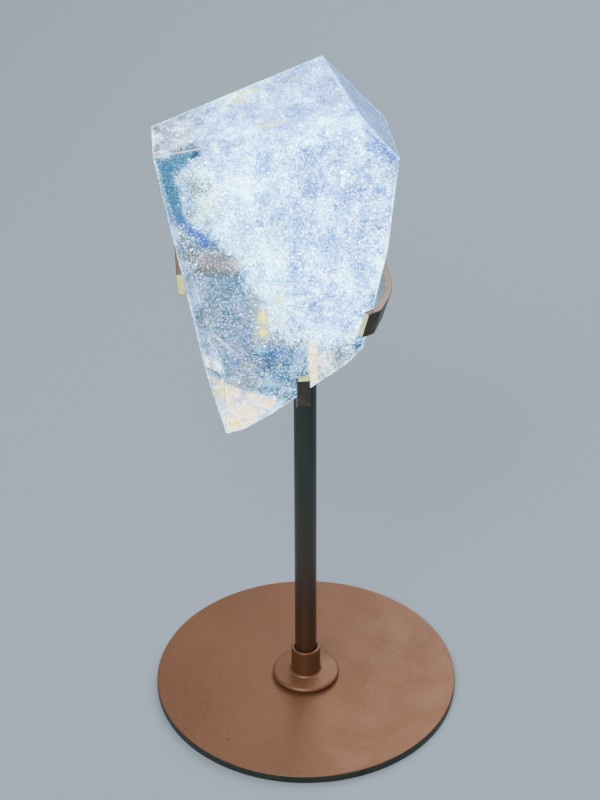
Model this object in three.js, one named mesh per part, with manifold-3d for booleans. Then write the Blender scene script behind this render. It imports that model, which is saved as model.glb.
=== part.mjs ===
// Clear quartz freeform, resting in the claws of a round-based metal stand.
// Millimetres, +Z up. The origin is the centre of the base plate's underside.
// The stone's front faces -Y and its right side faces +X.

import * as THREE from 'three';
import { mergeVertices } from 'three/addons/utils/BufferGeometryUtils.js';
import Module from 'manifold-3d';

// Driving dimensions of the stand
const PLATE_RADIUS = 70;
const PLATE_THICKNESS = 4;
const PLATE_EDGE = 0.6;
const ROD_RADIUS = 5;
const ROD_CHAMFER = 0.4;
const COLLAR_WALL = 1.45;
const FLANGE_RADIUS = 15.5;
const FLANGE_THICKNESS = 2.9;
const SLEEVE_HEIGHT = 17;
const SLEEVE_FOOT = 1.3;
const GAP = 0.3;

// The flat bar that is bent into a cradle: front claw, seat and back upright
const CRADLE_WIDTH = 5.3;
const CRADLE_THICKNESS = 3.8;
const CRADLE_BEND = 3.2;
const CRADLE_SHIFT = -0.7;
const SEAT_TOP = 178.8;
const FRONT_CLAW_TOP = 190.4;
const FRONT_CLAW_INNER = -29.4;
const FRONT_CLAW_TURN = THREE.MathUtils.degToRad(9);

// The flat band behind the stone, whose ends are the left and the right claw
const BAND_HEIGHT = 10.6;
const BAND_THICKNESS = 3.2;
const BAND_MIDDLE = 213;
const BAND_EDGE = 0.35;
const STONE_CLEARANCE = 0.5;
const LEFT_LEAN = -0.06;
const RIGHT_LEAN = 0.28;
const TIP_LEAN = 0.14;

// The stone leans back a little against the band. Its corners, each where three or more facets meet
const CORNER = {
  topLeft: [-60.2, -11.4, 282.9],
  topLeftBack: [-61.9, 10.0, 285.8],
  peak: [7.4, 41.4, 302.2],
  ridge: [23.4, -8.9, 297.3],
  shoulder: [37.9, -11.6, 282.1],
  shoulderBack: [34.0, 44.1, 272.5],
  waist: [33.7, -18.2, 244.4],
  waistLow: [23.8, -22.4, 198.3],
  bottomRight: [17.0, -26.9, 195.3],
  bottomMiddle: [-9.2, -29.8, 178.9],
  bottomLeft: [-34.0, -28.3, 187.1],
  leftLow: [-40.8, -21.8, 184.8],
  tip: [-33.2, -27.0, 159.9],
};
const STONE_MIDDLE = new THREE.Vector3(-8, 8, 235);

// The back facet, which the band lies along: its y at the band's height, for a given x
const BACK_LEFT = [-48, 32.5, BAND_MIDDLE];
const BACK_SLOPE = 0.126;
const backY = (x) => BACK_LEFT[1] + BACK_SLOPE * (x - BACK_LEFT[0]);

// Points and directions that fix the facets at the sides and underneath
const RIGHT_BACK = [23.5, 41, BAND_MIDDLE];
const LEFT_SIDE = [-48.9, 6.8, BAND_MIDDLE];
const LEFT_SIDE_BACK = [-55.0, 30, 235];
const LOWER_LEFT_FACING = [-0.9, -0.1, -0.254];
const TIP_FACING = [0.33, 0, -0.944];
const TOE_FACING = [0.26, -0.93, -0.25];
const UNDERSIDE = { at: [-8, 0, 175.7], facing: [0.595, 0, -0.804] };
const LOWER_BACK = { at: [0, 36, 196], facing: [-0.12, 0.78, -0.62] };
const EDGE_BEVEL = 0.22;
const SHARPEST_UNBEVELLED = THREE.MathUtils.degToRad(4);

const MATERIAL = {
  quartz: new THREE.MeshStandardMaterial({ color: '#dfe9f4', roughness: 0.05, metalness: 0 }),
  copper: new THREE.MeshStandardMaterial({ color: '#93694b', roughness: 0.45, metalness: 0.6 }),
  bronze: new THREE.MeshStandardMaterial({ color: '#5a5146', roughness: 0.4, metalness: 0.8 }),
  claw: new THREE.MeshStandardMaterial({ color: '#8a6a4c', roughness: 0.4, metalness: 0.8 }),
};

const wasm = await Module();
wasm.setup();

const part = new THREE.Group();

function addPiece(name, geometry, material) {
  const mesh = new THREE.Mesh(geometry, material);
  mesh.name = name;
  part.add(mesh);
  return mesh;
}

// Solid from a closed three.js geometry
function solidOf(geometry) {
  const bare = geometry.clone();
  bare.deleteAttribute('normal');
  bare.deleteAttribute('uv');
  const merged = mergeVertices(bare, 1e-5);
  return new wasm.Manifold(new wasm.Mesh({
    numProp: 3,
    vertProperties: new Float32Array(merged.attributes.position.array),
    triVerts: new Uint32Array(merged.index.array),
  }));
}

function geometryOf(solid) {
  const mesh = solid.getMesh();
  const geometry = new THREE.BufferGeometry();
  geometry.setAttribute('position', new THREE.BufferAttribute(mesh.vertProperties, 3));
  geometry.setIndex(new THREE.BufferAttribute(mesh.triVerts, 1));
  geometry.computeVertexNormals();
  return geometry;
}

// A facet is the plane through a point, with its outward normal
function facet(at, facing) {
  return { at: new THREE.Vector3(...at), normal: new THREE.Vector3(...facing).normalize() };
}

// The facet through three points, turned to face away from the stone's middle
function facetThrough(a, b, c) {
  const plane = new THREE.Plane().setFromCoplanarPoints(
    new THREE.Vector3(...a), new THREE.Vector3(...b), new THREE.Vector3(...c));
  if (plane.distanceToPoint(STONE_MIDDLE) > 0) plane.negate();
  return { at: new THREE.Vector3(...a), normal: plane.normal.clone() };
}

// A narrow flat along the edge between two facets, set back from the sharp edge
function edgeBevel(one, other) {
  const sum = one.normal.clone().add(other.normal);
  const length = sum.length();
  const normal = sum.divideScalar(length);
  const reach = (one.normal.dot(one.at) + other.normal.dot(other.at)) / length;
  return { at: normal.clone().multiplyScalar(reach - EDGE_BEVEL), normal };
}

// Cut away everything on a facet's outer side
function cutAt(solid, { at, normal }) {
  const size = 400;
  const block = new THREE.BoxGeometry(size, size, size);
  block.translate(0, 0, size / 2);
  block.applyQuaternion(new THREE.Quaternion().setFromUnitVectors(new THREE.Vector3(0, 0, 1), normal));
  block.translate(at.x, at.y, at.z);
  return solid.subtract(solidOf(block));
}

function quartzGeometry() {
  const c = CORNER;
  const facets = [
    facetThrough(c.topLeft, c.shoulder, c.bottomLeft),
    facetThrough(c.topLeft, c.ridge, c.peak),
    facetThrough(c.ridge, c.shoulder, c.peak),
    facetThrough(c.shoulder, c.waist, c.shoulderBack),
    facetThrough(c.waist, c.bottomRight, c.waistLow),
    facetThrough(c.waist, c.waistLow, RIGHT_BACK),
    facetThrough(c.peak, c.shoulderBack, BACK_LEFT),
    facetThrough(c.topLeftBack, c.peak, BACK_LEFT),
    facetThrough(c.topLeft, c.topLeftBack, LEFT_SIDE_BACK),
    facetThrough(c.topLeft, c.leftLow, LEFT_SIDE),
    facetThrough(c.topLeft, c.bottomLeft, c.tip),
    facet(c.leftLow, LOWER_LEFT_FACING),
    facetThrough(c.bottomLeft, c.bottomMiddle, c.tip),
    facet(c.tip, TIP_FACING),
    facet(c.bottomMiddle, TOE_FACING),
    facet(UNDERSIDE.at, UNDERSIDE.facing),
    facet(LOWER_BACK.at, LOWER_BACK.facing),
  ];
  const block = new THREE.BoxGeometry(140, 100, 200);
  block.translate(STONE_MIDDLE.x, STONE_MIDDLE.y, STONE_MIDDLE.z);
  let stone = facets.reduce(cutAt, solidOf(block));
  facets.forEach((one, i) => facets.slice(i + 1).forEach((other) => {
    if (one.normal.angleTo(other.normal) > SHARPEST_UNBEVELLED) stone = cutAt(stone, edgeBevel(one, other));
  }));
  return geometryOf(stone);
}

// Outline of a flat bar of one thickness, bent round each inner corner of its centre line
function bentOutline(centreLine, bends, thickness) {
  const half = thickness / 2;
  const points = centreLine.map((p) => new THREE.Vector2(...p));
  const runs = points.slice(1).map((p, i) => p.clone().sub(points[i]).normalize());
  const side = (vector) => new THREE.Vector2(-vector.y, vector.x);
  const arcs = bends.map((radius, i) => {
    const [before, after] = [runs[i], runs[i + 1]];
    const turn = Math.atan2(before.cross(after), before.dot(after));
    const start = points[i + 1].clone().addScaledVector(before, -radius * Math.tan(Math.abs(turn) / 2));
    const sign = Math.sign(turn);
    const centre = start.clone().addScaledVector(side(before), sign * radius);
    const from = start.clone().sub(centre).angle();
    return { centre, radius, from, to: from + turn, sign };
  });
  const outline = new THREE.Shape();
  const corner = (end, run, offset) => points.at(end).clone().addScaledVector(side(runs.at(run)), offset);
  const start = corner(0, 0, -half);
  outline.moveTo(start.x, start.y);
  const across = corner(0, 0, half);
  outline.lineTo(across.x, across.y);
  arcs.forEach((arc) => {
    outline.absarc(arc.centre.x, arc.centre.y, arc.radius - arc.sign * half, arc.from, arc.to, arc.sign < 0);
  });
  [half, -half].map((offset) => corner(-1, -1, offset)).forEach((p) => outline.lineTo(p.x, p.y));
  arcs.toReversed().forEach((arc) => {
    outline.absarc(arc.centre.x, arc.centre.y, arc.radius + arc.sign * half, arc.to, arc.from, arc.sign > 0);
  });
  outline.closePath();
  return outline;
}

// Flat bar of a bent outline, with its long edges slightly rounded
function flatBar(outline, width, edge, curveSegments) {
  const geometry = new THREE.ExtrudeGeometry(outline, {
    depth: width - 2 * edge,
    bevelThickness: edge,
    bevelSize: edge,
    bevelOffset: -edge,
    bevelSegments: 1,
    curveSegments,
  });
  geometry.translate(0, 0, edge - width / 2);
  return geometry;
}

// Move each point of a geometry by a rule
function reshape(geometry, rule) {
  const position = geometry.attributes.position;
  const point = new THREE.Vector3();
  for (let i = 0; i < position.count; i += 1) {
    rule(point.fromBufferAttribute(position, i));
    position.setXYZ(i, point.x, point.y, point.z);
  }
  return geometry;
}

function plateGeometry() {
  const profile = new THREE.Path();
  profile.moveTo(0, 0);
  profile.lineTo(PLATE_RADIUS - PLATE_EDGE, 0);
  profile.lineTo(PLATE_RADIUS, PLATE_EDGE);
  profile.absarc(PLATE_RADIUS - PLATE_EDGE, PLATE_THICKNESS - PLATE_EDGE, PLATE_EDGE, 0, Math.PI / 2);
  profile.lineTo(0, PLATE_THICKNESS);
  const geometry = new THREE.LatheGeometry(profile.getPoints(2), 96);
  return geometry.rotateX(Math.PI / 2);
}

// Collar on the plate: a flange with a rounded rim, and a sleeve around the rod
function collarGeometry() {
  const bore = ROD_RADIUS + GAP;
  const outer = bore + COLLAR_WALL;
  const foot = PLATE_THICKNESS + GAP;
  const flangeTop = foot + FLANGE_THICKNESS;
  const rim = FLANGE_THICKNESS / 2;
  const top = foot + SLEEVE_HEIGHT;
  const profile = new THREE.Path();
  profile.moveTo(bore, foot);
  profile.lineTo(FLANGE_RADIUS - rim, foot);
  profile.absarc(FLANGE_RADIUS - rim, foot + rim, rim, -Math.PI / 2, Math.PI / 2);
  profile.lineTo(outer + SLEEVE_FOOT, flangeTop);
  profile.absarc(outer + SLEEVE_FOOT, flangeTop + SLEEVE_FOOT, SLEEVE_FOOT, -Math.PI / 2, -Math.PI, true);
  profile.lineTo(outer, top - 0.4);
  profile.lineTo(outer - 0.4, top);
  profile.lineTo(bore, top);
  profile.lineTo(bore, foot);
  const geometry = new THREE.LatheGeometry(profile.getPoints(4), 48);
  return geometry.rotateX(Math.PI / 2);
}

function rodGeometry() {
  const foot = PLATE_THICKNESS + GAP;
  const top = SEAT_TOP - CRADLE_THICKNESS - GAP;
  const profile = [
    new THREE.Vector2(0, foot),
    new THREE.Vector2(ROD_RADIUS, foot),
    new THREE.Vector2(ROD_RADIUS, top - ROD_CHAMFER),
    new THREE.Vector2(ROD_RADIUS - ROD_CHAMFER, top),
    new THREE.Vector2(0, top),
  ];
  return new THREE.LatheGeometry(profile, 36).rotateX(Math.PI / 2);
}

// Cradle bar, drawn from the side: up in front of the stone, under it, and up behind it
function cradleGeometry() {
  const half = CRADLE_THICKNESS / 2;
  const front = FRONT_CLAW_INNER - half;
  const seat = SEAT_TOP - half;
  const back = backY(CRADLE_WIDTH) + STONE_CLEARANCE + half;
  const centreLine = [
    [front, FRONT_CLAW_TOP],
    [front, seat],
    [back, seat],
    [back, BAND_MIDDLE - BAND_HEIGHT / 2 - GAP],
  ];
  const geometry = flatBar(bentOutline(centreLine, [CRADLE_BEND, CRADLE_BEND + half], CRADLE_THICKNESS),
    CRADLE_WIDTH, BAND_EDGE, 6);
  geometry.rotateX(Math.PI / 2);
  geometry.rotateZ(Math.PI / 2);
  reshape(geometry, (point) => {
    if (point.y > front + CRADLE_BEND + CRADLE_THICKNESS) return;
    point.y -= front;
    point.applyAxisAngle(new THREE.Vector3(0, 0, 1), FRONT_CLAW_TURN);
    point.y += front;
  });
  return geometry.translate(CRADLE_SHIFT, 0, 0);
}

// Claw band, drawn from above: left claw, back, swelling right arm, and the right claw's tip
function bandGeometry() {
  const offset = (STONE_CLEARANCE + BAND_THICKNESS / 2) * Math.hypot(1, BACK_SLOPE);
  const centreLine = [
    [-52.1, 6.8],
    [-54.2, backY(-54.2) + offset],
    [28, backY(28) + offset],
    [34.9, -3.5],
    [28.5, -22.6],
    [23.9, -25.7],
  ];
  const geometry = flatBar(bentOutline(centreLine, [4, 5, 50, 2], BAND_THICKNESS), BAND_HEIGHT, BAND_EDGE, 8);
  reshape(geometry, (point) => {
    const left = THREE.MathUtils.smoothstep(-point.x, 40, 50);
    const right = THREE.MathUtils.smoothstep(-point.y, -30, 10) * THREE.MathUtils.smoothstep(point.x, 10, 20);
    const tip = THREE.MathUtils.smoothstep(-point.y, 14, 22);
    point.x += point.z * (left * LEFT_LEAN + right * RIGHT_LEAN);
    point.y += point.z * tip * TIP_LEAN;
  });
  return geometry.translate(0, 0, BAND_MIDDLE);
}

addPiece('base_plate', plateGeometry(), MATERIAL.copper);
addPiece('collar', collarGeometry(), MATERIAL.copper);
addPiece('rod', rodGeometry(), MATERIAL.bronze);
addPiece('cradle_bar', cradleGeometry(), MATERIAL.claw);
addPiece('claw_band', bandGeometry(), MATERIAL.claw);
addPiece('quartz', quartzGeometry(), MATERIAL.quartz);

export default part;
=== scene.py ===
"""The clear quartz freeform on its metal stand.

Metres, +Z up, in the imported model's frame: the origin is the centre of the base plate's underside, the
stone's large front facet faces -Y, and +X is the stone's right side seen from the front.
"""

import math

import bmesh
import bpy
import numpy as np
from mathutils import Matrix, Vector


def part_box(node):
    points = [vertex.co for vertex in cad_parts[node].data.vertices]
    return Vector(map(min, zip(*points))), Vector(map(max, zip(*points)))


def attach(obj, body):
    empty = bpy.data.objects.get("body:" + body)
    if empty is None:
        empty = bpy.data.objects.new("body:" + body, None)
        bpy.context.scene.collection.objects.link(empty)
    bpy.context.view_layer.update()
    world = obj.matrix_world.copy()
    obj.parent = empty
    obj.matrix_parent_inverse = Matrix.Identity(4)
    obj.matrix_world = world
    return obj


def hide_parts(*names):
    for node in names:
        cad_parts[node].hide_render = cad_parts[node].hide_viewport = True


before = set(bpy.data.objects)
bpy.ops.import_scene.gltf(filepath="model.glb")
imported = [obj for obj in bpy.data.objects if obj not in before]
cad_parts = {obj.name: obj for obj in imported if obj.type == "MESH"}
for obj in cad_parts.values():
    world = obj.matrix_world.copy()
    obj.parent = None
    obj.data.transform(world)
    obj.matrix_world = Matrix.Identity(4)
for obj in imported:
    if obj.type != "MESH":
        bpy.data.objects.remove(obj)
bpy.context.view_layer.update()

# Camera of the photograph, the floor, and what the lamps point at
CAMERA_PLACE = (0, -0.79078, 0.68770)
CAMERA_PITCH = math.radians(33.7654)
CAMERA_YAW = math.radians(0.1582)
CAMERA_ROLL = math.radians(-0.2675)
CAMERA_LENS = 99
SENSOR_WIDTH = 36
FLOOR_SIZE, FLOOR_GAP = 30, 0.0002
LAMP_TARGET = (0, 0, 0.22)

# Stand
PLATE_RADIUS = 0.070
PLATE_THICKNESS = 0.004
PLATE_EDGE = 0.0006
RIM_TILT = 0.55
PLATE_SEGMENTS, COLLAR_SEGMENTS, ROD_SEGMENTS = 160, 96, 64
COLLAR_FOOT = 0.0043
COLLAR_TOP = 0.0213
FLANGE_RADIUS = 0.0155
FLANGE_TOP = 0.0072
FLANGE_ROUNDING = 0.48
SLEEVE_RADIUS = 0.00675
BORE_RADIUS = 0.0053
SLEEVE_FOOT = 0.0013
SLEEVE_LIP = (0.0005, 0.0004)
ROD_RADIUS = 0.005
ROD_FOOT_EDGE, ROD_TOP_EDGE = 0.0003, 0.0004
BAR_EDGE = 0.00012
SHARP_ANGLE = math.radians(25)
CUT_END_REACH, CUT_END_FACING = 0.004, 0.95
FRONT_END = ((-0.0007, -0.0311, 0.1904), (0, 0, 1))
RIGHT_END = ((0.0239, -0.0257, 0.213), (-0.829, -0.559, 0))
LEFT_END = ((-0.0521, 0.0068, 0.213), (0, -1, 0))
SCRATCH_PLACE = (-0.0350, -0.0454, 0.004)
SCRATCH_TURN = math.radians(46)
SCRATCH_SIZE = (0.0017, 0.00038, 1)

# The stone's front facet, and the way that the camera's line of sight runs behind it
FACET_POINT = np.array([0, -0.028, 0.189])
FACET_NORMAL = np.array([0, -0.9848, 0.1736])
SIGHT_INSIDE = np.array([-0.0013, 0.9224, -0.3861])
SEEN_RISE = 0.03

# The CAD meshes: what is one point, and what is one flat face
WELD = 2e-6
FLAT_ANGLE = math.radians(0.4)

# The stone's bevels are narrower than a facet, its slivers smaller. Flakes keep clear of its surface
FACET_BREADTH = 0.0006
SMALLEST_FACET = 5e-6
STONE_MIDDLE = (-0.008, 0.008, 0.235)
MARGIN = 0.0007
EDGE_MARGIN = 0.00025
EDGE_SPREAD = 0.0003
RIDGE_WIDTH = 0.002
FLAKE_REACH = 1.3
NEAR_DEPTH, FAR_DEPTH = 0.007, 0.085

# The ways in which single facets face, and heights on the left one
FRONT, TOP, RIGHT_CROWN = (0, -0.98, 0.17), (-0.16, -0.15, 0.98), (0.73, 0.17, 0.67)
TOE, LEFT_SLIVER = (-0.08, -1.0, -0.05), (-0.68, -0.73, -0.06)
RIGHT, LOWER_RIGHT = (0.98, 0.05, -0.2), (0.57, -0.82, -0.05)
FOOT_TOP = 0.1865
CHIP_LOW, CHIP_HIGH = 0.1905, 0.1965

# Stains and films inside the stone, by tone. Each has its x and z as seen on the front facet, depth,
# width and height in mm, its turn in degrees, and its count of flakes
STAINS = {
    "yellow": [
        (-17.4, 215.4, 1.2, 2.2, 4.4, 15, 1100),
        (-17.0, 208.8, 1.2, 2.8, 2.4, 0, 600),
        (-10.5, 223.3, 1.2, 2.8, 2.2, 0, 450),
        (-8.0, 212.0, 1.6, 2.4, 2.4, 0, 100),
        (16.0, 206.0, 1.6, 4.0, 3.0, 0, 160),
        (-24.4, 306.0, 34.6, 9.0, 2.6, 12, 1700),
        (-27.0, 303.4, 30.0, 5.0, 3.0, 0, 900),
        (-12.1, 294.9, 9.0, 8.0, 1.2, 14, 800),
        (14.7, 308.3, 25.0, 2.0, 4.0, 20, 300),
        (-5.0, 311.4, 38.0, 4.0, 2.0, 20, 300),
        (-37.3, 262.8, 1.4, 4.0, 1.8, 0, 200),
    ],
    "smoke": [
        (-30.5, 301.3, 26.6, 2.4, 1.6, -30, 260),
        (-53.0, 291.5, 15.0, 6.0, 3.0, 0, 300),
        (-42.3, 269.5, 1.4, 7.0, 4.5, -20, 1500),
        (-45.0, 242.0, 1.6, 9.0, 3.0, 0, 450),
    ],
    "grey": [
        (-21.5, 221.5, 1.6, 6.0, 7.0, 0, 500),
        (-39.5, 267.5, 1.6, 5.0, 3.5, 0, 300),
        (-44.0, 240.0, 2.6, 8.0, 5.0, 0, 500),
    ],
    "film_blue": [
        (-45.5, 252.4, 1.4, 7.0, 2.8, -38, 1500),
        (-40.6, 247.6, 1.4, 4.4, 2.6, -50, 800),
        (-12.3, 200.5, 1.8, 5.0, 3.4, 0, 300),
    ],
    "film_cyan": [
        (-18.1, 201.1, 1.6, 2.8, 2.4, 0, 260),
        (-14.5, 185.7, 1.6, 2.0, 2.0, 0, 160),
    ],
    # Painted shade: teal and deep knots stand in for the dark blue-green that shows through the clear
    # quartz
    "painted_teal": [
        (-32.0, 231.5, 1.3, 13.0, 4.0, -8, 900),
        (-36.5, 249.0, 1.2, 4.0, 3.0, -20, 300),
    ],
    "taupe": [
        (-38.0, 239.6, 1.0, 18.0, 4.0, -10, 2000),
        (-43.0, 273.0, 1.1, 7.0, 3.6, 0, 600),
        (-44.0, 260.0, 1.1, 6.0, 2.6, -20, 400),
        (-36.5, 255.5, 1.1, 5.0, 2.6, -35, 350),
    ],
    "painted_deep": [
        (-36.0, 246.5, 1.8, 5.0, 3.5, 0, 500),
        (-34.0, 240.0, 1.8, 4.0, 2.4, 0, 200),
    ],
    "white": [
        (-42.0, 258.0, 1.4, 2.4, 6.0, -10, 500),
        (-48.0, 277.0, 1.2, 5.0, 6.0, 10, 450),
        (-41.0, 266.0, 1.1, 5.0, 3.0, 0, 300),
        (-37.4, 195.0, 1.2, 4.0, 5.0, 0, 500),
    ],
    "rose": [
        (-34.9, 205.5, 1.2, 11.0, 0.7, -46, 420),
        (-42.5, 214.0, 1.2, 4.0, 3.0, -30, 260),
        (-27.0, 237.0, 1.6, 3.0, 2.0, 0, 160),
        (-31.0, 238.5, 1.6, 6.0, 3.0, 0, 160),
    ],
}


# Node trees


class Finish:
    """A material with one Principled shader, and short calls for the nodes that drive it."""

    def __init__(self, name):
        self.material = bpy.data.materials.new(name)
        self.material.use_nodes = True
        self.nodes = self.material.node_tree.nodes
        self.links = self.material.node_tree.links
        self.shader = self.nodes["Principled BSDF"]
        self.output = self.nodes["Material Output"]
        self.place = self.nodes.new("ShaderNodeTexCoord").outputs["Object"]

    def set(self, **values):
        """Plain values on the shader's own sockets, named with _ for a space."""
        for name, value in values.items():
            self.shader.inputs[name.replace("_", " ")].default_value = value
        return self

    def drive(self, **sockets):
        for name, socket in sockets.items():
            self.links.new(socket, self.shader.inputs[name.replace("_", " ")])
        return self

    def add(self, kind, outputs=0, inputs=(), **settings):
        """A new node; its output is returned. An input is a socket to link or a plain value."""
        node = self.nodes.new(kind)
        for name, value in settings.items():
            setattr(node, name, value)
        for key, value in dict(inputs).items():
            if isinstance(value, bpy.types.NodeSocket):
                self.links.new(value, node.inputs[key])
            else:
                node.inputs[key].default_value = value
        return node.outputs[outputs]

    def noise(self, scale, detail=3, roughness=0.55, stretch=(1, 1, 1)):
        place = self.add("ShaderNodeMapping", inputs={"Vector": self.place, "Scale": stretch})
        return self.add(
            "ShaderNodeTexNoise",
            inputs={"Vector": place, "Scale": scale, "Detail": detail, "Roughness": roughness},
        )

    def between(self, value, low, high, start=0.35, end=0.65):
        """A value's range from start to end, spread over low to high."""
        return self.add(
            "ShaderNodeMapRange",
            inputs={"Value": value, "From Min": start, "From Max": end, "To Min": low, "To Max": high},
        )

    def blend(self, share, one, other):
        """A colour between two, by a share from 0 to 1."""
        node = self.nodes.new("ShaderNodeMix")
        node.data_type = "RGBA"
        for socket, value in zip((node.inputs[0], node.inputs[6], node.inputs[7]), (share, one, other)):
            if isinstance(value, bpy.types.NodeSocket):
                self.links.new(value, socket)
            else:
                socket.default_value = value
        return node.outputs[2]

    def bump(self, height, distance, strength=1.0):
        normal = self.add(
            "ShaderNodeBump", inputs={"Height": height, "Distance": distance, "Strength": strength}
        )
        return self.drive(Normal=normal)


def rgb(red, green, blue):
    return (red, green, blue, 1)


def copper_paint():
    """Satin copper-brown paint with orange peel and one scratch, with painted shade darkening its
    upright faces.
    """
    finish = Finish("copper_paint")
    cloud = finish.between(finish.noise(14, 4, 0.5), 0, 1)
    grain = finish.noise(900, 2)
    colour = finish.blend(cloud, rgb(0.196, 0.080, 0.034), rgb(0.245, 0.104, 0.046))
    colour = finish.blend(finish.between(grain, 0, 0.25), colour, rgb(0.33, 0.155, 0.075))
    # Painted shade: faces that don't look up are darkened towards dark brown
    normal = finish.add("ShaderNodeNewGeometry", 1)
    up = finish.add("ShaderNodeSeparateXYZ", 2, {"Vector": normal})
    colour = finish.blend(finish.between(up, 0.6, 0, 0, 0.6), colour, rgb(0.070, 0.030, 0.016))
    scratch = finish.add(
        "ShaderNodeMapping",
        inputs={
            "Vector": finish.place,
            "Location": SCRATCH_PLACE,
            "Rotation": (0, 0, SCRATCH_TURN),
            "Scale": SCRATCH_SIZE,
        },
        vector_type="TEXTURE",
    )
    scratch = finish.add("ShaderNodeVectorMath", "Value", {0: scratch}, operation="LENGTH")
    colour = finish.blend(finish.between(scratch, 0.85, 0, 0.5, 1.0), colour, rgb(0.05, 0.022, 0.014))
    finish.drive(Base_Color=colour, Roughness=finish.between(finish.noise(60, 4), 0.38, 0.52))
    finish.set(Metallic=0.45)
    return finish.bump(grain, 0.00012, 0.5).material


def rim_shade_paint():
    """The dark green-black finish of the plate's upright rim: painted shade where the copper top turns
    away from the light.
    """
    finish = Finish("rim_shade_paint")
    streak = finish.noise(220, 4, stretch=(1, 1, 3))
    green, brown = rgb(0.012, 0.022, 0.017), rgb(0.045, 0.040, 0.028)
    colour = finish.blend(finish.between(streak, 0, 1), green, brown)
    finish.drive(Base_Color=colour, Roughness=finish.between(streak, 0.4, 0.55))
    finish.set(Metallic=0.3)
    return finish.bump(finish.noise(1100, 2), 0.00008, 0.4).material


def dark_bronze():
    """The rod's dark bronze paint, redder towards its foot."""
    finish = Finish("dark_bronze")
    height = finish.add("ShaderNodeSeparateXYZ", 2, {"Vector": finish.place})
    streak = finish.noise(90, 4, stretch=(1, 1, 0.12))
    low = finish.add(
        "ShaderNodeMath",
        inputs={
            0: finish.between(height, 0.75, 0, 0.03, 0.15),
            1: finish.between(streak, -0.2, 0.2),
        },
    )
    colour = finish.blend(low, rgb(0.042, 0.052, 0.044), rgb(0.125, 0.062, 0.036))
    finish.drive(Base_Color=colour, Roughness=finish.between(streak, 0.32, 0.48))
    finish.set(Metallic=0.6)
    return finish.bump(finish.noise(1100, 2), 0.00008, 0.4).material


def bronze_bar():
    """The bars' finish: painted light makes the faces that look up or towards the stone copper, painted
    shade makes the outer faces dark.
    """
    finish = Finish("bronze_bar")
    normal = finish.add("ShaderNodeNewGeometry", 1)
    up = finish.add("ShaderNodeSeparateXYZ", 2, {"Vector": normal})
    to_stone = finish.add(
        "ShaderNodeVectorMath", inputs={0: STONE_MIDDLE, 1: finish.place}, operation="SUBTRACT"
    )
    to_stone = finish.add(
        "ShaderNodeVectorMath", inputs={0: to_stone, 1: (1, 1, 0)}, operation="MULTIPLY"
    )
    to_stone = finish.add("ShaderNodeVectorMath", inputs={0: to_stone}, operation="NORMALIZE")
    inward = finish.add(
        "ShaderNodeVectorMath", "Value", {0: to_stone, 1: normal}, operation="DOT_PRODUCT"
    )
    cloud = finish.noise(160, 4)
    # Painted light and shade: copper where a face looks up or towards the stone, dark elsewhere
    lit_share = finish.add(
        "ShaderNodeMath",
        inputs={0: finish.between(up, 0, 0.85, 0.35, 0.9), 1: finish.between(inward, 0, 0.9, 0.2, 0.6)},
        operation="MAXIMUM",
    )
    lit_share = finish.add("ShaderNodeMath", inputs={0: lit_share, 1: finish.between(cloud, -0.15, 0.15)})
    colour = finish.blend(lit_share, rgb(0.062, 0.058, 0.044), rgb(0.36, 0.20, 0.12))
    finish.drive(Base_Color=colour, Roughness=finish.between(cloud, 0.34, 0.5))
    finish.set(Metallic=0.6)
    return finish.bump(finish.noise(1000, 2), 0.00008, 0.4).material


def brass_cut():
    """Bright yellow metal of the bars' cut ends, with fine saw lines."""
    finish = Finish("brass_cut")
    saw = finish.noise(700, 2, stretch=(0.25, 1, 1))
    colour = finish.blend(finish.between(saw, 0, 1), rgb(1.0, 0.80, 0.16), rgb(1.0, 0.93, 0.42))
    finish.drive(Base_Color=colour)
    finish.set(Metallic=0.1, Roughness=0.36, Specular_IOR_Level=0.35)
    return finish.bump(saw, 0.00006, 0.6).material


def quartz_glass():
    """Polished clear quartz: plain transmission, index and a faint cool absorption."""
    finish = Finish("quartz_glass")
    finish.set(Base_Color=rgb(1, 1, 1), Roughness=0.0, IOR=1.544, Transmission_Weight=1.0)
    inside = finish.nodes.new("ShaderNodeVolumeAbsorption")
    inside.inputs["Color"].default_value = rgb(0.62, 0.84, 0.97)
    inside.inputs["Density"].default_value = 5
    finish.links.new(inside.outputs[0], finish.output.inputs["Volume"])
    return finish.material


def painted_glow_edge():
    """The narrow ground bevels between facets, which stay white and slightly rough, and glow with
    painted light as bright lines.
    """
    finish = Finish("painted_glow_edge")
    finish.set(Base_Color=rgb(0.95, 0.97, 1.0), Roughness=0.35, IOR=1.544, Transmission_Weight=0.4)
    # Painted light: emission makes the bevels show as bright lines
    finish.set(Emission_Color=rgb(0.85, 0.95, 1.0), Emission_Strength=0.45)
    return finish.material


def inclusion(name, colour, painted_glow, roughness=0.45):
    """One tone of what fractures and veils inside the quartz show. Each glows by its emission, painted
    light that stands in for light caught inside the stone.
    """
    finish = Finish(name)
    finish.set(Base_Color=rgb(*colour), Roughness=roughness)
    # Painted light: the emission makes the tone glow
    finish.set(Emission_Color=rgb(*colour), Emission_Strength=painted_glow)
    return finish.material


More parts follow.
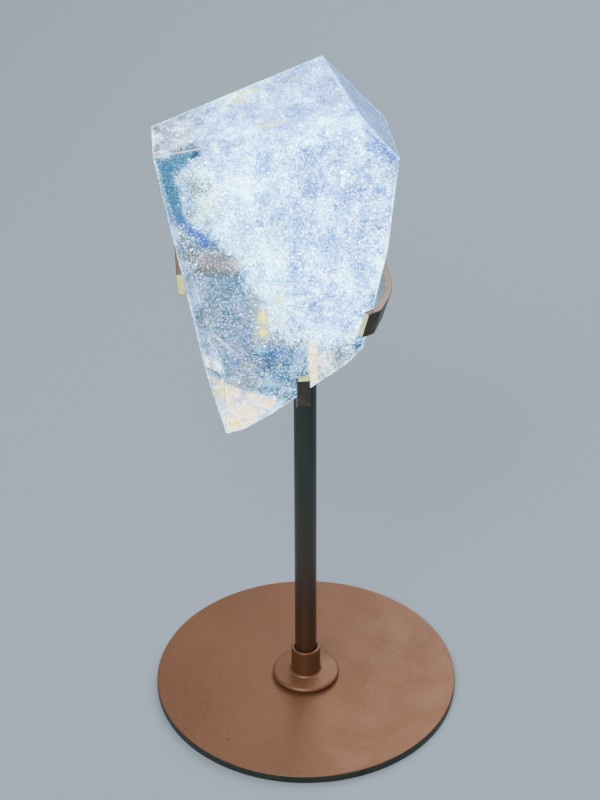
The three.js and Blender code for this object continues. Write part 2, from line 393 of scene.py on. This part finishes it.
# Name, colour, painted glow and, where it isn't the usual one, roughness
TONES = {
    row[0]: inclusion(*row)
    for row in (
        ("blue", (0.18, 0.31, 0.74), 0.10),
        ("lilac", (0.38, 0.57, 1.0), 0.50),
        ("pale", (0.30, 0.78, 1.0), 1.00),
        ("white", (0.56, 0.94, 1.0), 2.5),
        ("violet", (0.56, 0.60, 0.97), 0.50),
        ("grey", (0.62, 0.66, 0.74), 0.28),
        ("crown", (0.02, 0.24, 0.78), 0.24),
        ("cream", (1.0, 0.93, 0.80), 1.20),
        ("rose", (0.88, 0.82, 0.90), 0.75),
        ("smoke", (0.34, 0.27, 0.22), 0.10),
        # Painted shade: deep and teal stand in for the dark blue-green that shows through the clear
        # quartz
        ("painted_deep", (0.05, 0.20, 0.34), 0.05),
        ("painted_teal", (0.045, 0.33, 0.54), 0.16),
        ("taupe", (0.58, 0.44, 0.38), 0.30),
        ("yellow", (1.0, 0.91, 0.20), 0.75),
        ("film_blue", (0.02, 0.12, 0.68), 0.35, 0.25),
        ("film_cyan", (0.20, 0.85, 0.95), 0.8, 0.25),
        # Painted glints: small flakes that glow brightly
        ("painted_glint", (1.0, 1.0, 1.0), 6.0, 0.2),
        ("painted_glint_cyan", (0.55, 0.96, 1.0), 4.0, 0.2),
    )
}

# Shares of the tones in each mist, in the order in which they lie through its lumps
MIXES = {
    "haze": {"blue": 0.26, "lilac": 0.26, "pale": 0.25, "white": 0.23},
    "painted_glints": {"painted_glint_cyan": 0.4, "painted_glint": 0.6},
    # The deep and teal shares in these mixes are painted shade
    "shade": {"painted_deep": 0.46, "painted_teal": 0.24, "film_blue": 0.04, "grey": 0.10, "lilac": 0.16},
    "drifts": {
        "painted_deep": 0.26,
        "painted_teal": 0.17,
        "smoke": 0.10,
        "grey": 0.12,
        "lilac": 0.16,
        "pale": 0.12,
        "white": 0.07,
    },
    "clear": {"painted_deep": 0.08, "painted_teal": 0.92},
    "top": {"blue": 0.12, "violet": 0.38, "lilac": 0.22, "pale": 0.13, "white": 0.15},
    "corner": {"smoke": 0.17, "grey": 0.63, "rose": 0.20},
    "crown": {"crown": 0.75, "lilac": 0.25},
    "toe": {"violet": 0.14, "rose": 0.24, "cream": 0.35, "yellow": 0.27},
    "left": {"painted_deep": 0.22, "grey": 0.36, "lilac": 0.34, "pale": 0.08},
    "left_chip": {"rose": 0.7, "white": 0.3},
    "right": {"lilac": 0.3, "pale": 0.4, "white": 0.3},
    "low_right": {"painted_deep": 0.14, "painted_teal": 0.16, "grey": 0.25, "pale": 0.25, "white": 0.20},
    "chips": {"pale": 0.4, "white": 0.6},
    "low_edge": {"painted_deep": 0.20, "painted_teal": 0.14, "smoke": 0.18, "grey": 0.22, "rose": 0.12, "cream": 0.14},
    "streak": {"cream": 0.62, "yellow": 0.38},
}

# Lumps of one tone in the mist: cell in metres, seed and weight. The spreads are those of single flakes
TONE_LUMPS = ((0.0065, 5, 0.42), (0.003, 7, 0.42), (0.0014, 6, 0.50))
TONE_SPREAD = 0.075
SIZE_SPREAD = 0.42


# Pieces


def make_piece(name, mesh, replaced=(), materials=()):
    piece = bpy.data.objects.new(name, mesh)
    bpy.context.scene.collection.objects.link(piece)
    for material in materials:
        mesh.materials.append(material)
    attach(piece, "root")
    if replaced:
        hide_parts(*replaced)
    return piece


def rounded(corners, radii, steps=5):
    """Points of a profile (r, z) whose inner corners are rounded, each with its own radius."""
    points = [corners[0]]
    for before, corner, after, radius in zip(corners, corners[1:], corners[2:], radii):
        before, corner, after = Vector(before), Vector(corner), Vector(after)
        into, out = (before - corner).normalized(), (after - corner).normalized()
        half = into.angle(out) / 2
        if radius == 0:
            points.append(tuple(corner))
            continue
        centre = corner + (into + out).normalized() * (radius / math.sin(half))
        first = corner + into * (radius / math.tan(half)) - centre
        last = corner + out * (radius / math.tan(half)) - centre
        turn = first.angle_signed(last)
        for step in range(steps + 1):
            angle = -turn * step / steps
            points.append(tuple(centre + Matrix.Rotation(angle, 2) @ first))
    return points + [corners[-1]]


def turned(name, profile, segments, closed=False):
    """Mesh of a profile (r, z) turned round the Z axis. Where it meets the axis the mesh is closed."""
    bm = bmesh.new()
    rings = []
    for r, z in profile:
        if r < 1e-7:
            rings.append([bm.verts.new((0, 0, z))])
        else:
            turns = [math.tau * i / segments for i in range(segments)]
            rings.append([bm.verts.new((r * math.cos(a), r * math.sin(a), z)) for a in turns])
    pairs = list(zip(rings, rings[1:])) + ([(rings[-1], rings[0])] if closed else [])
    for lower, upper in pairs:
        for i in range(segments):
            j = (i + 1) % segments
            low = [lower[i % len(lower)], lower[j % len(lower)]]
            corners = low + [upper[j % len(upper)], upper[i % len(upper)]]
            bm.faces.new(list(dict.fromkeys(corners)))
    bmesh.ops.recalc_face_normals(bm, faces=bm.faces)
    mesh = bpy.data.meshes.new(name)
    bm.to_mesh(mesh)
    bm.free()
    smooth_by_angle(mesh, 40)
    return mesh


def smooth_by_angle(mesh, degrees):
    """Smooth shading, with every edge sharper than an angle kept sharp."""
    mesh.shade_smooth()
    mesh.set_sharp_from_angle(angle=math.radians(degrees))


def make_plate(paint, rim):
    profile = rounded(
        [(0, 0), (PLATE_RADIUS, 0), (PLATE_RADIUS, PLATE_THICKNESS), (0, PLATE_THICKNESS)],
        [PLATE_EDGE, PLATE_EDGE],
    )
    mesh = turned("plate_disc", profile, PLATE_SEGMENTS)
    make_piece("plate_disc", mesh, ["base_plate"], [paint, rim])
    # Faces that don't look up get the rim's dark finish, painted shade
    for polygon in mesh.polygons:
        polygon.material_index = int(polygon.normal.z < RIM_TILT)


def make_collar(material):
    rim = (FLANGE_TOP - COLLAR_FOOT) * FLANGE_ROUNDING
    start = (BORE_RADIUS, COLLAR_FOOT + 0.001)
    profile = rounded(
        [
            start,
            (BORE_RADIUS, COLLAR_FOOT),
            (FLANGE_RADIUS, COLLAR_FOOT),
            (FLANGE_RADIUS, FLANGE_TOP),
            (SLEEVE_RADIUS, FLANGE_TOP),
            (SLEEVE_RADIUS, COLLAR_TOP),
            (BORE_RADIUS, COLLAR_TOP),
            start,
        ],
        [0, rim, rim, SLEEVE_FOOT, *SLEEVE_LIP],
    )
    mesh = turned("collar_turning", profile[:-1], COLLAR_SEGMENTS, closed=True)
    make_piece("collar_turning", mesh, ["collar"], [material])


def make_rod(material):
    low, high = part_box("rod")
    corners = [(0, low.z), (ROD_RADIUS, low.z), (ROD_RADIUS, high.z), (0, high.z)]
    profile = rounded(corners, [ROD_FOOT_EDGE, ROD_TOP_EDGE], 3)
    mesh = turned("rod_bar", profile, ROD_SEGMENTS)
    make_piece("rod_bar", mesh, ["rod"], [material])


def plain_copy(node):
    """A new bmesh of a CAD node's shape, with the triangles of each flat face joined."""
    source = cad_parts[node].data
    bm = bmesh.new()
    verts = [bm.verts.new(v.co) for v in source.vertices]
    for polygon in source.polygons:
        bm.faces.new([verts[i] for i in polygon.vertices])
    bmesh.ops.remove_doubles(bm, verts=bm.verts, dist=WELD)
    bmesh.ops.dissolve_limit(bm, angle_limit=FLAT_ANGLE, verts=bm.verts, edges=bm.edges)
    return bm


def make_bar(name, node, cut_ends, materials):
    """A flat bar with softened edges. The face at each cut end, a place and a facing, is bare metal."""
    bm = plain_copy(node)
    for face in bm.faces:
        for place, facing in cut_ends:
            near = (face.calc_center_median() - Vector(place)).length < CUT_END_REACH
            if near and face.normal.dot(Vector(facing)) > CUT_END_FACING:
                face.material_index = 1
    sharp = [e for e in bm.edges if len(e.link_faces) == 2 and e.calc_face_angle() > SHARP_ANGLE]
    bmesh.ops.bevel(bm, geom=sharp, offset=BAR_EDGE, segments=2, profile=0.6, affect="EDGES")
    mesh = bpy.data.meshes.new(name)
    bm.to_mesh(mesh)
    bm.free()
    smooth_by_angle(mesh, 32)
    make_piece(name, mesh, [node], materials)


# The stone


def make_stone(glass, edge):
    """The polished shell. Faces narrower than FACET_BREADTH are the ground bevels between facets."""
    bm = plain_copy("quartz")
    for face in bm.faces:
        face.smooth = False
        breadth = 2 * face.calc_area() / sum(e.calc_length() for e in face.edges)
        face.material_index = int(breadth < FACET_BREADTH)
    mesh = bpy.data.meshes.new("quartz_stone")
    bm.to_mesh(mesh)
    bm.free()
    stone = make_piece("quartz_stone", mesh, ["quartz"], [glass, edge])
    stone.visible_shadow = False


def facet_planes():
    """The stone's facets, without slivers: outward normals, distances from the origin, and corners."""
    bm = plain_copy("quartz")
    facets = [f for f in bm.faces if f.calc_area() > SMALLEST_FACET]
    normals = np.array([f.normal for f in facets])
    reach = np.array([f.normal.dot(f.verts[0].co) for f in facets])
    corners = [np.array([v.co for v in f.verts]) for f in facets]
    bm.free()
    return normals, reach, corners


NORMALS, REACH, CORNERS = facet_planes()
STONE_LOW, STONE_HIGH = (np.array(corner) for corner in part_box("quartz"))
dice = np.random.default_rng(20)


def depth_inside(points):
    """How far each point lies under the nearest facet; negative outside."""
    return np.min(REACH - points @ NORMALS.T, axis=1)


def as_seen(points):
    """Where the camera sees inner points on the front facet: x, z and depth along its sight, in mm."""
    depth = (points - FACET_POINT) @ FACET_NORMAL / (SIGHT_INSIDE @ FACET_NORMAL)
    face = points - depth[:, None] * SIGHT_INSIDE
    return face[:, 0] * 1000, face[:, 2] * 1000, depth * 1000


def smooth(value, start, end):
    """A soft step from 0 at the start to 1 at the end."""
    t = np.clip((value - start) / (end - start), 0, 1)
    return t * t * (3 - 2 * t)


def cloud(points, cell, seed):
    """Smooth noise from 0 to 1, whose lumps are about one cell wide."""
    lattice = np.random.default_rng(seed).random((64, 64, 64))
    q = (points - STONE_LOW) / cell + 5
    base = np.floor(q).astype(int)
    f = q - base
    f = f * f * (3 - 2 * f)
    total = np.zeros(len(points))
    for corner in np.ndindex(2, 2, 2):
        index = (base + corner) % 64
        weight = np.prod(np.where(corner, f, 1 - f), axis=1)
        total += weight * lattice[index[:, 0], index[:, 1], index[:, 2]]
    return total


def behind_facet(x, z, depth):
    """The inner points that the camera sees at x, z on the front facet, at a depth along that line."""
    rise = -FACET_NORMAL[2] / FACET_NORMAL[1]
    face = np.stack(np.broadcast_arrays(x, FACET_POINT[1] + (z - FACET_POINT[2]) * rise, z), axis=-1)
    return face + np.multiply.outer(depth, SIGHT_INSIDE)


def scatter(count, density, depths, across=None, up=None):
    """Points inside the stone, kept in proportion to a density from 0 to 1. The limits are as seen."""
    x = dice.uniform(*(across or (STONE_LOW[0], STONE_HIGH[0])), count)
    z = dice.uniform(*(up or (STONE_LOW[2], STONE_HIGH[2] + SEEN_RISE)), count)
    points = behind_facet(x, z, dice.uniform(*depths, count))
    points = points[depth_inside(points) > MARGIN]
    return points[dice.random(len(points)) < density(points)]


def facet_facing(facing):
    """The large facet that faces most nearly one way."""
    return np.argmax(NORMALS @ (np.array(facing) / np.linalg.norm(facing)))


def skin(facing, count, depth):
    """Points close under a facet, thinning out with depth."""
    facet = facet_facing(facing)
    corners = CORNERS[facet]
    first = np.broadcast_to(corners[0], corners[1:-1].shape)
    fan = np.stack([first, corners[1:-1], corners[2:]], axis=1)
    areas = np.linalg.norm(np.cross(fan[:, 1] - fan[:, 0], fan[:, 2] - fan[:, 0]), axis=1)
    chosen = fan[dice.choice(len(fan), count, p=areas / areas.sum())]
    points = np.einsum("ij,ijk->ik", dice.dirichlet((1, 1, 1), count), chosen)
    points -= (MARGIN + dice.exponential(depth, (count, 1))) * NORMALS[facet]
    return points[depth_inside(points) > MARGIN * 0.9]


def edge_line(count):
    """Points close along the stone's edges, but not along the ridge between its front and its top."""
    starts = np.concatenate(CORNERS)
    ends = np.concatenate([np.roll(corners, -1, axis=0) for corners in CORNERS])
    lengths = np.linalg.norm(ends - starts, axis=1)
    chosen = dice.choice(len(starts), count, p=lengths / lengths.sum())
    points = starts[chosen] + dice.random((count, 1)) * (ends - starts)[chosen]
    inward = STONE_MIDDLE - points
    inward /= np.linalg.norm(inward, axis=1, keepdims=True)
    points += inward * (EDGE_MARGIN + dice.exponential(EDGE_SPREAD, (count, 1)))
    depths = REACH - points @ NORMALS.T
    ridge = np.maximum(depths[:, facet_facing(FRONT)], depths[:, facet_facing(TOP)]) < RIDGE_WIDTH
    return points[~ridge & (np.min(depths, axis=1) > EDGE_MARGIN)]


def make_flakes(name, centres, sizes, kinds, materials):
    """One mesh of small irregular triangles, each turned at random and wholly inside the stone."""
    count = len(centres)
    sizes = np.minimum(sizes, depth_inside(centres) / FLAKE_REACH)
    normals = dice.normal(size=(count, 3))
    normals /= np.linalg.norm(normals, axis=1, keepdims=True)
    side = np.cross(normals, np.where(np.abs(normals[:, [2]]) < 0.9, [[0, 0, 1]], [[1, 0, 0]]))
    side /= np.linalg.norm(side, axis=1, keepdims=True)
    rise = np.cross(normals, side)
    angles = dice.uniform(0, math.tau, (count, 1)) + math.tau * np.arange(3) / 3
    angles += dice.normal(0, 0.35, (count, 3))
    radii = sizes[:, None] * dice.uniform(0.6, 1.2, (count, 3))
    corners = centres[:, None] + radii[..., None] * (
        np.cos(angles)[..., None] * side[:, None] + np.sin(angles)[..., None] * rise[:, None]
    )
    mesh = bpy.data.meshes.new(name)
    mesh.from_pydata(corners.reshape(-1, 3).tolist(), [], np.arange(3 * count).reshape(-1, 3).tolist())
    mesh.polygons.foreach_set("material_index", kinds)
    mesh.update()
    make_piece(name, mesh, materials=materials)


def haze_density(points):
    """The milky cloud that fills the stone's right and upper part, thinner towards the back."""
    x, z, depth = as_seen(points)
    heights = [200, 206, 209, 223, 227, 229, 240, 246, 262, 285]
    left = np.interp(z, heights, [-3, -10, -14, -17, -23, -25, -27, -37, -40, -46])
    low = np.interp(x, [-25, -6, 8, 30], [210, 204, 202, 196])
    edge = (cloud(points, 0.006, 1) - 0.5) * 5
    mask = smooth(x - left + edge, -2, 3) * smooth(z - low + edge, -2, 5)
    lumps = 0.4 + 0.6 * smooth(cloud(points, 0.009, 2) * 0.6 + cloud(points, 0.003, 3) * 0.4, 0.3, 0.62)
    return mask * lumps * np.interp(depth, [0, 14, 45], [1.0, 0.7, 0.3])


def haze_shift(points):
    """Lighter at the left, bluer in one patch near the top and towards the right."""
    x, z = as_seen(points)[:2]
    patch = np.exp(-(((x - 4) / 9) ** 2) - ((z - 271) / 8) ** 2)
    return np.interp(x, [-45, -12, 5, 35], [0.04, 0.04, -0.01, -0.04]) - 0.12 * patch


def edge_density(points):
    """Smoky mist along the stone's lower right edge."""
    x, z, depth = as_seen(points)
    line = np.interp(x, [-4, 4, 18, 25, 32], [180, 199, 205, 207, 210])
    return smooth(line - z, -0.5, 2.0) * smooth(x, -4, 3) * np.interp(depth, [0, 6, 20], [1, 0.5, 0])


def streak_density(points):
    """The cream upright streak above the front claw: a painted image of the lit cradle upright seen
    through the stone.
    """
    x, z, depth = as_seen(points)
    across = smooth(1.9 - np.abs(x - 3.4), 0, 0.5)
    return across * smooth(z, 184.5, 186) * smooth(206.5 - z, 0, 2) * smooth(3 - depth, 0, 1)


def thin_density(points):
    """Lacy drifts of mist through the clear part: thin winding sheets, sparser towards the back."""
    sheets = 1 - np.abs(2 * cloud(points, 0.0075, 31) - 1)
    lace = smooth(sheets, 0.66, 0.95) * smooth(cloud(points, 0.0021, 32), 0.32, 0.62)
    x, z, depth = as_seen(points)
    clear_corner = np.maximum(smooth(x, -52, -44), smooth(256 - z, 0, 12))
    band = 1 - 0.55 * smooth(z, 231, 234) * smooth(244 - z, 0, 3) * smooth(-26 - x, 0, 1)
    return (0.10 + 0.90 * lace) * clear_corner * band * np.interp(depth, [0, 20, 50], [1.0, 0.7, 0.3])


def shade_density(points):
    """Painted shade: dark blue flakes above the toe, and fainter ones up the stone's clear left part."""
    x, z, depth = as_seen(points)
    line = np.interp(x, [-40, -34, -9, 1], [190, 187, 179, 180])
    right = smooth(z - line, -0.5, 1) * smooth(1.5 - x, 0, 2)
    right = right * smooth(x, -26, -16) * smooth(204 - z, 0, 5)
    left = smooth(z - line, 0, 3) * smooth(-18 - x, 0, 8)
    left = left * smooth(236 - z, 0, 8) * smooth(x, -50, -42)
    patches = smooth(cloud(points, 0.005, 41) * 0.6 + cloud(points, 0.0018, 42) * 0.4, 0.36, 0.56)
    return patches * (right + 0.4 * left) * smooth(depth, 1.0, 2.5)


def clear_density(points):
    """The painted blue-green of the clear corner at the upper left, between the outline and the haze's
    first lace.
    """
    x, z, depth = as_seen(points)
    lace = np.interp(z, [256, 262, 272, 277, 281, 284], [-49, -50, -51.5, -50.5, -47, -41])
    lace += (cloud(points, 0.003, 51) - 0.5) * 4
    return smooth(lace - x, -1.5, 1) * smooth(z, 254, 258) * smooth(3 - depth, 0, 1)


def toe_shift(points):
    """Yellow towards the left, lilac towards the right."""
    return np.interp(points[:, 0] * 1000, [-34, -26, -12], [0.22, 0.04, -0.18])


def corner_density(points):
    """Greyish mist under the left end of the top facet."""
    return smooth(-points[:, 0], 0.036, 0.052)


def make_mist(name, points, size, mix, shift=None):
    """Flakes on points, their middle size in metres. The tones of a mix lie in lumps, in its order."""
    count = len(points)
    shares = MIXES[mix]
    sizes = dice.lognormal(math.log(size), SIZE_SPREAD, count)
    level = dice.normal(0, TONE_SPREAD, count)
    for cell, seed, weight in TONE_LUMPS:
        level += cloud(points, cell, seed) * weight
    if shift:
        level += shift(points)
    limits = np.quantile(level, np.cumsum(list(shares.values()))[:-1])
    make_flakes(name, points, sizes, np.digitize(level, limits), [TONES[tone] for tone in shares])


def make_stains(name, size, stains):
    """Knots of flakes by tone, one mesh of all of them. STAINS says what a stain's numbers are."""
    groups, kinds = [], []
    for kind, spots in enumerate(stains.values()):
        for x, z, depth, wide, high, turn, count in spots:
            halves = np.array([[wide], [high], [1]])
            along, across, back = dice.normal(size=(3, count)) * halves / 2000
            c, s = math.cos(math.radians(turn)), math.sin(math.radians(turn))
            shift = np.stack([c * along - s * across, back, s * along + c * across], axis=-1)
            points = behind_facet(x / 1000, z / 1000, depth / 1000) + shift
            points = points[depth_inside(points) > MARGIN]
            groups.append(points)
            kinds.append(np.full(len(points), kind))
    points, kinds = np.concatenate(groups), np.concatenate(kinds)
    sizes = dice.lognormal(math.log(size), 0.4, len(points))
    make_flakes(name, points, sizes, kinds, [TONES[tone] for tone in stains])


def make_haze():
    """The milky cloud, its painted glints, and the dark blue flakes of painted shade below it."""
    near = scatter(300_000, haze_density, (0, NEAR_DEPTH))
    far = scatter(600_000, haze_density, (NEAR_DEPTH, FAR_DEPTH))
    make_mist("veil_near", near, 0.00040, "haze", haze_shift)
    make_mist("veil_far", far, 0.00046, "haze", haze_shift)
    make_mist("haze_painted_glints", scatter(60_000, haze_density, (0, 0.008)), 0.00036, "painted_glints")
    shade = scatter(110_000, shade_density, (0.001, 0.012), (-0.050, 0.003), (0.176, 0.238))
    make_mist("veil_shade", shade, 0.00036, "shade")


def make_drifts():
    """The thin lacy mist and the painted glints of the clear part, and the painted blue-green of its
    corner.
    """
    make_mist("veil_drifts", scatter(900_000, thin_density, (0, 0.07)), 0.00022, "drifts")
    make_mist("painted_glints", scatter(110_000, thin_density, (0, 0.05)), 0.00026, "painted_glints")
    clear = scatter(80_000, clear_density, (0, 0.003), (-0.060, -0.040), (0.254, 0.286))
    make_mist("painted_clear_tint", clear, 0.00024, "clear")


def make_facet_mist():
    """What lies close under single facets: the top, the crown, the toe, and the narrow side facets."""
    make_mist("veil_top", skin(TOP, 62_000, 0.0016), 0.00025, "top")
    make_mist("top_painted_glints", skin(TOP, 2_000, 0.0008), 0.00032, "painted_glints")
    corner = skin(TOP, 110_000, 0.0012)
    corner = corner[dice.random(len(corner)) < corner_density(corner)]
    make_mist("veil_corner", corner, 0.00026, "corner")
    make_mist("veil_crown", skin(RIGHT_CROWN, 44_000, 0.0012), 0.00020, "crown")
    make_mist("veil_toe", skin(TOE, 15_000, 0.0005), 0.00024, "toe", toe_shift)
    left = skin(LEFT_SLIVER, 11_000, 0.0005)
    foot = left[:, 2] < FOOT_TOP
    chip = (left[:, 2] > CHIP_LOW) & (left[:, 2] < CHIP_HIGH)
    make_mist("veil_left", left[~foot & ~chip], 0.00022, "left")
    make_mist("veil_foot", left[foot], 0.00024, "toe")
    make_mist("veil_chip", left[chip], 0.00026, "left_chip")
    make_mist("veil_right", skin(RIGHT, 16_000, 0.0006), 0.00022, "right")
    make_mist("veil_low_right", skin(LOWER_RIGHT, 5_000, 0.0005), 0.00022, "low_right")


def make_edges():
    """The chips along the edges, the smoky mist at the lower right, and the painted cream streak of the
    cradle's upright.
    """
    make_mist("edge_chips", edge_line(60_000), 0.00016, "chips")
    band = scatter(170_000, edge_density, (0, 0.02), (-0.006, 0.034), (0.178, 0.210))
    make_mist("veil_edge", band, 0.00028, "low_edge")
    streak = scatter(10_000, streak_density, (0, 0.004), (0.001, 0.006), (0.183, 0.208))
    make_mist("painted_upright_streak", streak, 0.00028, "streak")


# Build

glass, edge = quartz_glass(), painted_glow_edge()
copper, rod_paint, bar_paint, brass = copper_paint(), dark_bronze(), bronze_bar(), brass_cut()

make_plate(copper, rim_shade_paint())
make_collar(copper)
make_rod(rod_paint)
make_bar("cradle", "cradle_bar", [FRONT_END], [bar_paint, brass])
make_bar("claws", "claw_band", [RIGHT_END, LEFT_END], [bar_paint, brass])
make_stone(glass, edge)

make_haze()
make_drifts()
make_facet_mist()
make_edges()
make_stains("stains", 0.00026, STAINS)


# Camera, floor and light


def make_camera():
    camera = bpy.data.objects.new("camera", bpy.data.cameras.new("camera"))
    bpy.context.scene.collection.objects.link(camera)
    camera.data.lens = CAMERA_LENS
    camera.data.sensor_width = SENSOR_WIDTH
    camera.matrix_world = (
        Matrix.Translation(CAMERA_PLACE)
        @ Matrix.Rotation(CAMERA_YAW, 4, "Z")
        @ Matrix.Rotation(math.pi / 2 - CAMERA_PITCH, 4, "X")
        @ Matrix.Rotation(CAMERA_ROLL, 4, "Z")
    )
    bpy.context.scene.camera = camera


def make_floor():
    finish = Finish("floor")
    finish.set(Base_Color=rgb(0.40, 0.47, 0.53), Roughness=0.8, Specular_IOR_Level=0.2)
    bm = bmesh.new()
    bmesh.ops.create_grid(bm, x_segments=1, y_segments=1, size=FLOOR_SIZE)
    mesh = bpy.data.meshes.new("floor")
    bm.to_mesh(mesh)
    bm.free()
    mesh.materials.append(finish.material)
    floor = bpy.data.objects.new("floor", mesh)
    floor.location.z = -FLOOR_GAP
    bpy.context.scene.collection.objects.link(floor)


def make_lamp(name, place, size, power, colour=(1, 1, 1)):
    lamp = bpy.data.lights.new(name, "AREA")
    lamp.size = size
    lamp.energy = power
    lamp.color = colour
    holder = bpy.data.objects.new(name, lamp)
    bpy.context.scene.collection.objects.link(holder)
    holder.location = place
    holder.rotation_euler = (Vector(LAMP_TARGET) - Vector(place)).to_track_quat("-Z", "Y").to_euler()


def make_light():
    world = bpy.data.worlds.new("studio")
    bpy.context.scene.world = world
    world.use_nodes = True
    world.node_tree.nodes["Background"].inputs["Color"].default_value = rgb(0.80, 0.86, 0.92)
    world.node_tree.nodes["Background"].inputs["Strength"].default_value = 0.45
    make_lamp("key", (-0.35, -1.1, 1.25), size=0.9, power=19)
    make_lamp("back", (0.5, 0.9, 1.1), size=1.2, power=13, colour=(0.92, 0.96, 1.0))


make_camera()
make_floor()
make_light()
